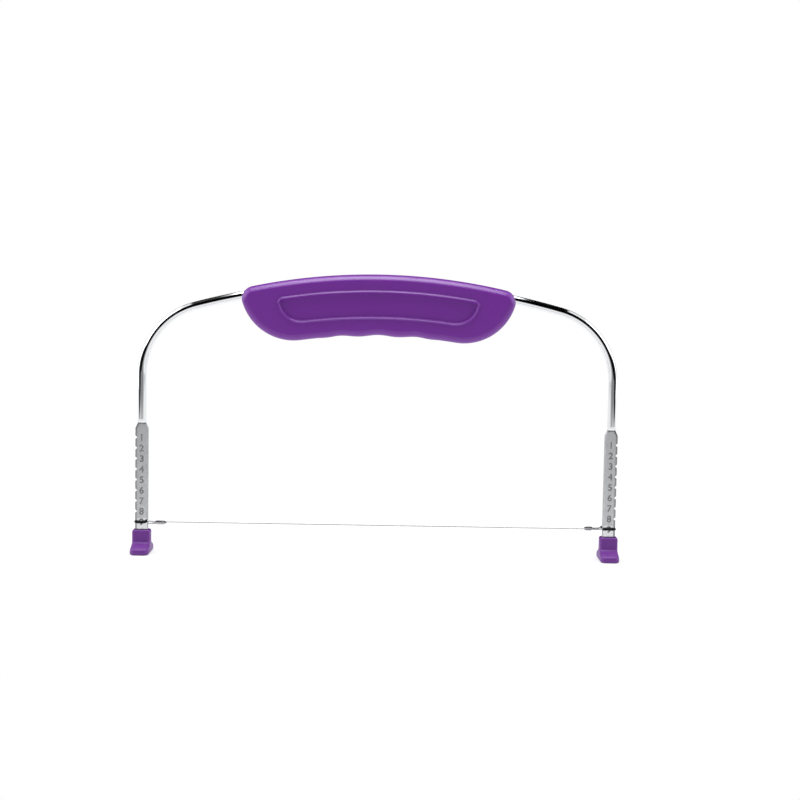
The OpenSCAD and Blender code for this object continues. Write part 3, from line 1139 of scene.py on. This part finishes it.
    def _screw(self, bm: BMesh, x: float, z: float) -> None:
        """Adds one screw: shank, domed head and tapered cross recess.

        Args:
            bm: The screws' mesh.
            x: The screw's place across the grip.
            z: Its height.
        """
        head, shank = self.screw_head_r, self.screw_shank_r
        at = shift(x, 0, z) @ Matrix.Rotation(-QUARTER_TURN, 4, "X") @ shift(z=self.seat)
        profile = [
            (shank * 0.6, -6.0), (shank, -5.2), (shank, 0.0), (head - 0.1 * MM, 0.0),
            (head, 0.15), (head, 0.9), (head * 0.96, 1.3), (head * 0.86, 1.65),
            (head * 0.7, 1.88), (head * 0.62, 1.94),
        ]
        profile = [(radius, height * MM) for radius, height in profile]
        rim = Rim.circle(bm, profile[0][0], 48, at @ shift(z=profile[0][1]))
        rim.close()
        for (r0, z0), (r1, z1) in pairwise(profile):
            grow = Matrix.Diagonal((r1 / r0, r1 / r0, 1, 1))
            rim = rim.extruded().move(at @ shift(z=z1) @ grow @ shift(z=-z0) @ at.inverted())
        self._cross(bm, rim, at @ shift(z=profile[-1][1]))

    @staticmethod
    def _cross(bm: BMesh, head: Rim, at: Matrix) -> None:
        """Closes a screw's head with a tapered cross recess.

        Args:
            bm: The screws' mesh.
            head: The open rim of the head.
            at: The middle of the head's face.
        """
        arm, half_w, depth, taper = 1.35 * MM, 0.42 * MM, 1.1 * MM, 0.6
        verts = []
        for quarter in range(4):
            spin = Matrix.Rotation(-quarter * QUARTER_TURN, 4, "Z")
            for corner in ((half_w, arm, 0), (half_w, half_w, 0), (arm, half_w, 0)):
                verts.append(bm.verts.new(at @ spin @ Vector(corner)))
        for a, b in pairwise([*verts, verts[0]]):
            bm.edges.new((a, b))
        cross = Rim(bm, verts)
        fill_between(bm, head, cross)
        lower = at @ shift(z=-depth) @ Matrix.Scale(taper, 4) @ at.inverted()
        cross.extruded().move(lower).close()

    def build(self) -> None:
        """Builds and places the shells and the screws."""
        for half in Half:
            node = f"handle_{half.name.lower()}_shell"
            place(self.shell(half), Body.FRAME, "grip_plastic", node)
        bm = bmesh.new()
        for x, z in self.screw_sites():
            self._screw(bm, x, z)
        screws = finished_object("grip_screws", bm, ZINC_PLATE)
        place(screws, Body.FRAME, "screw_steel", "handle_screws")


# The feet


@dataclass
class Foot:
    """A moulded foot: a sleeve round the leg, with a ramp down to the toe and the heel."""

    layout: Layout
    side: Side
    width: float = 10.6 * MM
    length: float = 24 * MM
    height: float = 13.2 * MM
    sleeve_t: float = 7.4 * MM
    toe_h: float = 3.3 * MM
    ramp_h: float = 6 * MM
    corner_r: float = 3.2 * MM
    edge_r: float = 1.4 * MM
    sole_r: float = 1.1 * MM
    fillet: float = 1.2 * MM
    socket_gap: float = 0.12 * MM
    socket_z: float = 4 * MM
    toe_share: float = 0.9
    top_taper: float = 0.955
    pocket: float = 1.5 * MM
    pocket_corner_r: float = 0.6 * MM
    rim: float = 1.2 * MM
    sole_h: float = 0.1 * MM
    sharp_angle: float = radians(20)

    @property
    def centre(self) -> float:
        """The foot's place across the bow."""
        return self.side.value * self.layout.half_span

    def build(self) -> None:
        """Builds and places the foot."""
        bm = bmesh.new()
        half, wall = self.length / 2, self.sleeve_t / 2
        rear = [(half, 0.0), (half, self.toe_h), (wall, self.ramp_h), (wall, self.height)]
        side_view = rear + [(-y, z) for y, z in reversed(rear)]
        start = bm.faces.new([bm.verts.new((-self.width / 2, y, z)) for y, z in side_view])
        made = bmesh.ops.extrude_face_region(bm, geom=[start])["geom"]
        moved = [g for g in made if isinstance(g, BMVert)]
        bmesh.ops.translate(bm, verts=moved, vec=Vector((self.width, 0, 0)))
        bmesh.ops.recalc_face_normals(bm, faces=bm.faces[:])
        self._round(bm, self._toe_corner, self.corner_r, 8)
        self._round(bm, self._inner_corner, self.fillet, 6)
        self._round(bm, self._upper_edge, self.edge_r, 6)
        self._round(bm, self._sole_edge, self.sole_r, 5)
        for vert in bm.verts:
            share = min(1.0, max(0.0, vert.co.z / self.ramp_h))
            vert.co.x *= 1 + eased(share) * (self.top_taper - 1)
        bmesh.ops.translate(bm, verts=bm.verts[:], vec=Vector((self.centre, 0, 0)))
        piece = finished_object(f"{self.side.word}_moulded_foot", bm, FOOT_PP)
        carve(piece, [self._socket_cutter(), self._pocket_cutter()])
        place(piece, Body.FRAME, "foot_plastic", f"{self.side.word}_foot")

    @staticmethod
    def _round(bm: BMesh, wanted: Callable[[BMEdge], bool], radius: float, steps: int) -> None:
        """Rounds the edges that a test picks, by a radius and in a number of segments."""
        bmesh.ops.bevel(
            bm, geom=[e for e in bm.edges if wanted(e)], offset=radius, offset_type="OFFSET",
            affect="EDGES", segments=steps, profile=0.5, material=-1, clamp_overlap=True,
        )

    def _toe_corner(self, edge: BMEdge) -> bool:
        """Tells whether an edge is an upright corner of the toe or the heel."""
        a, b = (v.co for v in edge.verts)
        upright = abs(a.x - b.x) < WELD and abs(a.y - b.y) < WELD
        return upright and abs(a.y) > self.toe_share * self.length / 2

    def _inner_corner(self, edge: BMEdge) -> bool:
        """Tells whether an edge lies where a ramp meets the sleeve."""
        return all(abs(v.co.z - self.ramp_h) < WELD for v in edge.verts)

    def _upper_edge(self, edge: BMEdge) -> bool:
        """Tells whether an edge above the sole is sharp enough to be rounded."""
        low = min(v.co.z for v in edge.verts)
        return low > self.sole_h and edge.calc_face_angle(0.0) > self.sharp_angle

    def _sole_edge(self, edge: BMEdge) -> bool:
        """Tells whether an edge runs round the sole."""
        high = max(v.co.z for v in edge.verts)
        return high < self.sole_h and edge.calc_face_angle(0.0) > self.sharp_angle

    def _pocket_corner(self, edge: BMEdge) -> bool:
        """Tells whether an edge of the pocket's box stands upright."""
        return abs(edge.verts[0].co.z - edge.verts[1].co.z) > self.pocket

    def _socket_cutter(self) -> Object:
        """Makes the shape of the mouth of the socket that the leg stands in.

        Returns:
            A closed flat prism with round ends, a little larger than the leg.
        """
        bm = bmesh.new()
        half_t = self.layout.leg_t / 2 + self.socket_gap
        core = self.layout.leg_w / 2 - self.layout.leg_t / 2
        rim = Rim.circle(bm, half_t, 48, shift(self.centre, 0, self.socket_z))
        for vert in rim.verts:
            vert.co.x += copysign(core, vert.co.x - self.centre)
        rim.prism(shift(z=self.height))
        return finished_object("leg_socket", bm, FOOT_PP)

    def _pocket_cutter(self) -> Object:
        """Makes the shape of the shallow pocket round the leg.

        Returns:
            A closed box with rounded upright edges.
        """
        bm = bmesh.new()
        across = self.width * self.top_taper - 2 * self.rim
        size = Matrix.Diagonal((across, self.sleeve_t - 2 * self.rim, 2 * self.pocket, 1))
        bmesh.ops.create_cube(bm, size=1.0, matrix=shift(self.centre, 0, self.height) @ size)
        self._round(bm, self._pocket_corner, self.pocket_corner_r, 5)
        return finished_object("foot_pocket", bm, FOOT_PP)


# The wire and its looped ends


@dataclass
class WireEnd:
    """One looped end of the wire: the loop, its dark sleeve and the crimped ferrule."""

    layout: Layout
    side: Side
    loop_r: float = 0.35 * MM
    sleeve_r: float = 0.74 * MM
    seat: float = 0.05 * MM
    reach: float = 4.9 * MM
    splay: float = 0.9 * MM
    lift: float = 0.25 * MM
    kick: float = 0.0
    droop: float = 0.0
    spread: float = 0.37 * MM
    together: float = 0.5
    ferrule_lift: float = 0.25 * MM
    ferrule_l: float = 5.2 * MM
    ferrule_h: float = 2.2 * MM
    ferrule_t: float = 1.6 * MM
    ferrule_rings: int = 28
    taper: Side = Side.LEFT
    taper_tip: float = 0.5
    taper_rate: float = 3.0
    taper_lead: float = 0.15
    # Where the ferrule carries painted dark reflection, in shares of its half height
    painted_dark_below: float = -0.45
    painted_dark_band: tuple[float, float] = (0.3, 0.6)
    front_bare: int = 11
    rear_bare: int = 10
    strand_steps: int = 12
    along_steps: int = 10
    bend_steps: int = 8
    bend_gap: float = 0.1 * MM
    bend_back: float = 0.25 * MM
    straight_start: float = 0.6 * MM
    straight_end: float = 0.3 * MM
    rise_from: float = 1.6 * MM
    rear_from: float = 0.1 * MM
    tail_share: float = 0.42
    boxiness: float = 0.45
    ferrule_end: float = 0.35
    bite: float = 0.14

    @property
    def ferrule_x(self) -> float:
        """Where the ferrule begins, from the leg's centre line."""
        return -self.layout.leg_w / 2 - self.reach

    def _finished(self, word: str, bm: BMesh, *finishes: Finish) -> Object:
        """Takes a mesh drawn about the right leg to its place and returns its object."""
        mirror = Matrix.Diagonal((self.side.value, 1, 1, 1))
        at = shift(self.side.value * self.layout.half_span, 0, self.layout.wire_z)
        bmesh.ops.transform(bm, matrix=at @ mirror, verts=bm.verts[:])
        return finished_object(f"{self.side.word}_{word}", bm, *finishes)

    def half_loop(self, face: Half) -> list[Vector]:
        """Works out half a loop, from the ferrule to the middle of the notched edge.

        Args:
            face: The face of the leg that this strand runs along.

        Returns:
            The points of its centre line.
        """
        side = face.value
        leg_edge = self.layout.leg_w / 2
        root = leg_edge - self.layout.notch_depth
        strand_y = self.layout.leg_t / 2 + self.sleeve_r + self.seat
        bend = self.sleeve_r + self.seat + self.bend_gap
        at_leg = self.splay if face is Half.REAR else self.lift + self.kick
        start = side * self.spread + self.ferrule_lift
        points = []
        for i in range(self.strand_steps + 1):
            share = i / self.strand_steps
            ease = eased(max(0.0, share - self.together) / (1 - self.together))
            x = self.ferrule_x + (self.reach + self.straight_start) * share
            points.append(Vector((x, side * strand_y * ease, start + (at_leg - start) * ease)))
        first_x = points[-1].x
        for i in range(1, self.along_steps + 1):
            x = first_x + (root - self.straight_end - first_x) * i / self.along_steps
            behind = (self.rise_from - x) / (self.rise_from + leg_edge)
            back = eased(min(1.0, max(0.0, behind)))
            sag = sin(pi * (x + leg_edge) / (2 * leg_edge))
            dip = self.droop * sag if face is Half.FRONT else 0.0
            rise = back if face is Half.REAR else back**4
            height = self.lift + (at_leg - self.lift) * rise - dip
            points.append(Vector((x, side * strand_y, height)))
        end_z = points[-1].z
        for i in range(1, self.bend_steps + 1):
            turn = QUARTER_TURN * i / self.bend_steps
            points.append(Vector((
                root - self.bend_back + bend * sin(turn),
                side * (strand_y - bend * (1 - cos(turn))),
                end_z + (self.lift - end_z) * eased(i / self.bend_steps),
            )))
        return points

    def path(self, front_skipped: int = 0, rear_skipped: int = 0) -> list[Vector]:
        """Returns the loop's centre line, without some points at each end.

        Args:
            front_skipped: How many points of the front half are left out.
            rear_skipped: How many points of the rear half are left out.

        Returns:
            The points, from the front strand round the edge to the rear strand.
        """
        rear = self.half_loop(Half.REAR)[rear_skipped:-1]
        return self.half_loop(Half.FRONT)[front_skipped:] + rear[::-1]

    def loop(self) -> Object:
        """Builds the loop, with its two tails inside the ferrule, and returns its object."""
        tail = Vector((-self.tail_share * self.ferrule_l, 0, 0))
        path = self.path()
        bm = bmesh.new()
        sweep_tube(bm, [path[0] + tail, *path, path[-1] + tail], self.loop_r, 20)
        # The rear strand of the left loop carries a painted highlight
        painted_bright = self.side is Side.LEFT
        for face in bm.faces:
            face.material_index = int(painted_bright and face.calc_center_median().y > self.rear_from)
        return self._finished("end_loop", bm, LOOP_WIRE, STRAND_HIGHLIGHT_WIRE)

    def sleeve(self) -> Object:
        """Builds the dark sleeve on the stretch along the leg and returns its object."""
        bm = bmesh.new()
        sweep_tube(bm, self.path(self.front_bare, self.rear_bare), self.sleeve_r, 28)
        return self._finished("dark_sleeve", bm, BLACK_SLEEVE)

    def ferrule(self) -> Object:
        """Builds the oval ferrule with the bites of the crimping tool.

        Returns:
            The ferrule's object.
        """
        bm = bmesh.new()
        turn = Matrix.Rotation(-QUARTER_TURN, 4, "Y")
        rim = Rim.circle(bm, 1.0, 32, shift(self.ferrule_x) @ turn)
        oval = []
        for p in rim.points():
            boxy = max(abs(p.y), abs(p.z)) ** self.boxiness
            oval.append((p.y / boxy * self.ferrule_t / 2, p.z / boxy * self.ferrule_h / 2))
        for i in range(self.ferrule_rings + 1):
            share = i / self.ferrule_rings
            blunt = self.ferrule_end + (1 - self.ferrule_end) * sqrt(1 - abs(2 * share - 1) ** 4)
            drawn = share if self.taper is Side.LEFT else 1 - share
            full = eased(min(1.0, self.taper_rate * drawn + self.taper_lead))
            tall = blunt * (self.taper_tip + (1 - self.taper_tip) * full)
            near_bite = max(0.0, cos(2 * pi * (2 * share - 0.5))) ** 3
            flat = blunt * (1 - self.bite * near_bite)
            x = self.ferrule_x - share * self.ferrule_l
            rim = rim.extruded() if i else rim
            rim.put(Vector((x, y * flat, z * tall + self.ferrule_lift)) for y, z in oval)
            if i in (0, self.ferrule_rings):
                rim.close()
        # Painted dark reflection along two bands of the ferrule
        low, high = self.painted_dark_band
        for face in bm.faces:
            above = 2 * (face.calc_center_median().z - self.ferrule_lift) / self.ferrule_h
            face.material_index = int(low < above < high or above < self.painted_dark_below)
        return self._finished("crimped_ferrule", bm, CRIMPED_ALUMINIUM, FERRULE_SHADE)

    def build(self) -> None:
        """Builds and places the loop, the sleeve and the ferrule."""
        word = self.side.word
        place(self.loop(), Body.WIRE, "wire_steel", f"{word}_wire_loop")
        place(self.sleeve(), Body.WIRE, "sleeve_black", f"{word}_loop_sleeve")
        place(self.ferrule(), Body.WIRE, "ferrule_metal", f"{word}_ferrule")


@dataclass
class CuttingWire:
    """The taut wire between the two ferrules."""

    layout: Layout
    radius: float = 0.25 * MM
    sides: int = 20
    steps: int = 40

    def build(self) -> None:
        """Builds and places the wire."""
        low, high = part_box("cutting_wire")
        bm = bmesh.new()
        along = [low.x + (high.x - low.x) * i / self.steps for i in range(self.steps + 1)]
        path = [Vector((x, 0, self.layout.wire_z)) for x in along]
        sweep_tube(bm, path, self.radius, self.sides)
        wire = finished_object("taut_cutting_wire", bm, DRAWN_WIRE)
        place(wire, Body.WIRE, "wire_steel", "cutting_wire")


# The studio


@dataclass(frozen=True)
class Flag:
    """A black card that only reflections see, with an edge that fades out.

    The card is opaque where the distance from its middle, measured after its axes are
    weighted, is below one size, and clear where it is above the other.
    """

    name: str
    middle: tuple[float, float, float]
    weights: tuple[float, float, float]
    opaque_at: float
    clear_at: float
    depth: float = 1.0

    def material(self) -> Material:
        """Builds the card's black cloth, which fades to nothing.

        Returns:
            The material.
        """
        made = bpy.data.materials.new(self.name)
        tree = empty_tree(made)
        spot = add_node(tree, "TexCoord").outputs["Object"]
        for operation, vector in (("SUBTRACT", self.middle), ("MULTIPLY", self.weights)):
            spot = add_node(tree, "VectorMath", {"operation": operation}, {0: spot, 1: vector})
        far = add_node(tree, "VectorMath", {"operation": "LENGTH"}, {0: spot})
        cover = add_node(tree, "MapRange", {"interpolation_type": "SMOOTHSTEP"}, {
            "Value": far.outputs["Value"], "From Min": self.opaque_at,
            "From Max": self.clear_at, "To Min": self.depth, "To Max": 0.0,
        })
        clear = add_node(tree, "BsdfTransparent")
        black = add_node(tree, "Emission", inputs={"Color": linear("#050505"), "Strength": 1.0})
        both = add_node(tree, "MixShader", inputs={0: cover, 1: clear, 2: black})
        add_node(tree, "OutputMaterial", inputs={"Surface": both})
        return made

    def hang(self, at: Matrix, size: float = 1.0) -> None:
        """Hangs the card where only reflections see it.

        Args:
            at: The matrix that places its grid.
            size: Half the grid's width.
        """
        bm = bmesh.new()
        bmesh.ops.create_grid(bm, x_segments=1, y_segments=1, size=size, matrix=at)
        card = linked(self.name, as_mesh(self.name, bm))
        card.data.materials.append(self.material())
        for rays in ("camera", "diffuse", "shadow", "transmission", "volume_scatter"):
            setattr(card, f"visible_{rays}", False)


@dataclass
class Studio:
    """Pale floor, soft lights, black cards and the camera of the photograph."""

    camera_at: tuple[float, float, float] = (8.6 * MM, -896.6 * MM, 166.8 * MM)
    elevation: float = 5.0
    azimuth: float = -0.26
    roll: float = 1.0
    focal_px: float = 1611.8
    image_px: float = 800.0
    sensor_mm: float = 36.0
    world_strength: float = 0.64
    floor_size: float = 30.0
    paper_near: float = 0.1
    paper_far: float = 0.28
    paper_whitening: float = 0.5
    target_z: float = 90 * MM

    def build(self) -> None:
        """Builds the whole studio."""
        bpy.context.scene.view_settings.view_transform = "Standard"
        self._world()
        self._floor()
        self._lights()
        self._flags()
        self._camera()

    @staticmethod
    def _seen_directly(tree: NodeTree) -> Node:
        """Adds a switch that is 1 for the camera, for reflections and through glass.

        Args:
            tree: The tree that gets the switch.

        Returns:
            The node whose output is the switch.
        """
        rays = add_node(tree, "LightPath").outputs
        seen = rays["Is Camera Ray"]
        clamped_sum = {"operation": "ADD", "use_clamp": True}
        for other in ("Is Glossy Ray", "Is Transmission Ray"):
            seen = add_node(tree, "Math", clamped_sum, {0: seen, 1: rays[other]})
        return seen

    def _world(self) -> None:
        """Makes a plain white surround that the camera and the reflections see at full white."""
        world = bpy.data.worlds.new("studio_surround")
        tree = empty_tree(world)
        strength = add_node(tree, "MapRange", inputs={
            "Value": self._seen_directly(tree), "To Min": self.world_strength, "To Max": 1.0,
        })
        surround = add_node(tree, "Background", inputs={
            "Color": linear("#FFFFFF"), "Strength": strength,
        })
        add_node(tree, "OutputWorld", inputs={"Surface": surround})
        bpy.context.scene.world = world

    def _floor(self) -> None:
        """Lays a white paper sheet, which keeps the object's shadow near the object."""
        bm = bmesh.new()
        bmesh.ops.create_grid(bm, x_segments=1, y_segments=1, size=self.floor_size / 2)
        floor = linked("studio_floor", as_mesh("studio_floor", bm))
        material = bpy.data.materials.new("white_paper_sweep")
        tree = empty_tree(material)
        where = add_node(tree, "TexCoord").outputs["Object"]
        away = add_node(tree, "VectorMath", {"operation": "LENGTH"}, {0: where})
        whiter = add_node(tree, "MapRange", {"interpolation_type": "SMOOTHSTEP"}, {
            "Value": away.outputs["Value"], "From Min": self.paper_near,
            "From Max": self.paper_far, "To Min": self.paper_whitening, "To Max": 1.0,
        })
        share = add_node(tree, "Math", {"operation": "MULTIPLY"}, {
            0: self._seen_directly(tree), 1: whiter,
        })
        paper = add_node(tree, "BsdfDiffuse", inputs={"Color": linear("#E2E2E2")})
        glow = add_node(tree, "Emission", inputs={"Color": linear("#FFFFFF")})
        both = add_node(tree, "MixShader", inputs={0: share, 1: paper, 2: glow})
        add_node(tree, "OutputMaterial", inputs={"Surface": both})
        floor.data.materials.append(material)

    def _lights(self) -> None:
        """Hangs the soft lights round the object."""
        target = Vector((0, 0, self.target_z))
        for name, spot, size, power in (
            ("key_softbox", Vector((-1.05, 0.05, 0.5)), 1.4, 8.5),
            ("fill_softbox", Vector((1.05, 0.05, 0.45)), 1.1, 4.5),
            ("top_softbox", Vector((0.0, 0.0, 1.3)), 0.9, 16.0),
        ):
            lamp = bpy.data.lights.new(name, "AREA")
            lamp.shape = "SQUARE"
            lamp.size = size
            lamp.energy = power
            holder = linked(name, lamp)
            holder.location = spot
            holder.rotation_euler = (target - spot).to_track_quat("-Z", "Y").to_euler()

    @staticmethod
    def _flags() -> None:
        """Hangs the black cards that give the plated rod its dark lines."""
        upright = Matrix.Rotation(QUARTER_TURN, 4, "X")
        for word, x, y, reach in (("front", 0.08, -1.05, 1.95), ("rear", 0.0, 1.05, 1.3)):
            card = Flag(f"{word}_flag", (x, y, 0.13), (1, 0, 0.72), 0.75 * reach, reach)
            card.hang(shift(0, y, 3.035) @ upright, 3.0)
        flat = shift(0, -1.4, 0.5 * MM) @ Matrix.Diagonal((1.6, 1.35, 1, 1))
        Flag("front_cloth", (0, -1.9, 0), (0.8, 1, 0), 0.9, 1.6, 0.72).hang(flat)
        # Painted shadow: a dark card on the floor just in front, seen only in reflections, where
        # the object's shadow would lie
        band = shift(0, -0.095, 0.6 * MM) @ Matrix.Diagonal((0.3, 0.035, 1, 1))
        Flag("painted_shadow_card", (0, -0.095, 0), (0, 1, 0), 0.012, 0.034, 0.5).hang(band)
        for name, x, opaque, clear, depth in (
            ("left_strip", -0.55, 0.055, 0.13, 0.95),
            ("right_strip", 0.53, 0.1, 0.17, 1.0),
        ):
            over = shift(x, 0.2, 1.25) @ Matrix.Diagonal((clear, 1.3, 1, 1))
            Flag(name, (x, 0, 0), (1, 0, 0), opaque, clear, depth).hang(over)
        for side in Side:
            at = (side.value * 0.237, -0.052, 0.106)
            facing = Matrix.Rotation(side.value * radians(62), 4, "Z")
            card = Flag(f"side_card_{side.word}", at, (10, 10, 19.5), 0.7, 1.0, 0.98)
            card.hang(shift(*at) @ facing @ upright, 0.1)

    def _camera(self) -> None:
        """Sets up the camera that was fitted to the photograph."""
        el, az, roll = (radians(a) for a in (self.elevation, self.azimuth, self.roll))
        level = cos(el)
        back = Vector((sin(az) * level, -cos(az) * level, sin(el)))
        right = (-back).cross(Z_AXIS).normalized()
        up = right.cross(-back)
        level_right = cos(roll) * right + sin(roll) * up
        level_up = cos(roll) * up - sin(roll) * right
        lens = bpy.data.cameras.new("photo_camera")
        lens.sensor_width = self.sensor_mm
        lens.lens = self.focal_px / self.image_px * self.sensor_mm
        holder = linked("photo_camera", lens)
        turn = Matrix((level_right, level_up, back)).transposed().to_4x4()
        holder.matrix_world = Matrix.Translation(self.camera_at) @ turn
        bpy.context.scene.camera = holder


def main() -> None:
    """Builds every piece in order."""
    logging.basicConfig(level=logging.INFO, format="%(name)s: %(message)s")
    Studio().build()
    layout = Layout()
    bow = Bow(layout)
    bow.build()
    Grip(layout, bow).build()
    for side in Side:
        Foot(layout, side).build()
    CuttingWire(layout).build()
    WireEnd(
        layout, Side.LEFT, reach=3.5 * MM, splay=-1.3 * MM, lift=0.1 * MM, kick=0.5 * MM,
        droop=0.25 * MM, spread=-0.45 * MM, together=0.0, ferrule_lift=-0.4 * MM,
        ferrule_l=6.8 * MM, ferrule_h=2.3 * MM, taper=Side.RIGHT, painted_dark_below=-1.0, rear_bare=15,
    ).build()
    WireEnd(layout, Side.RIGHT).build()


if __name__ == "__main__":
    main()
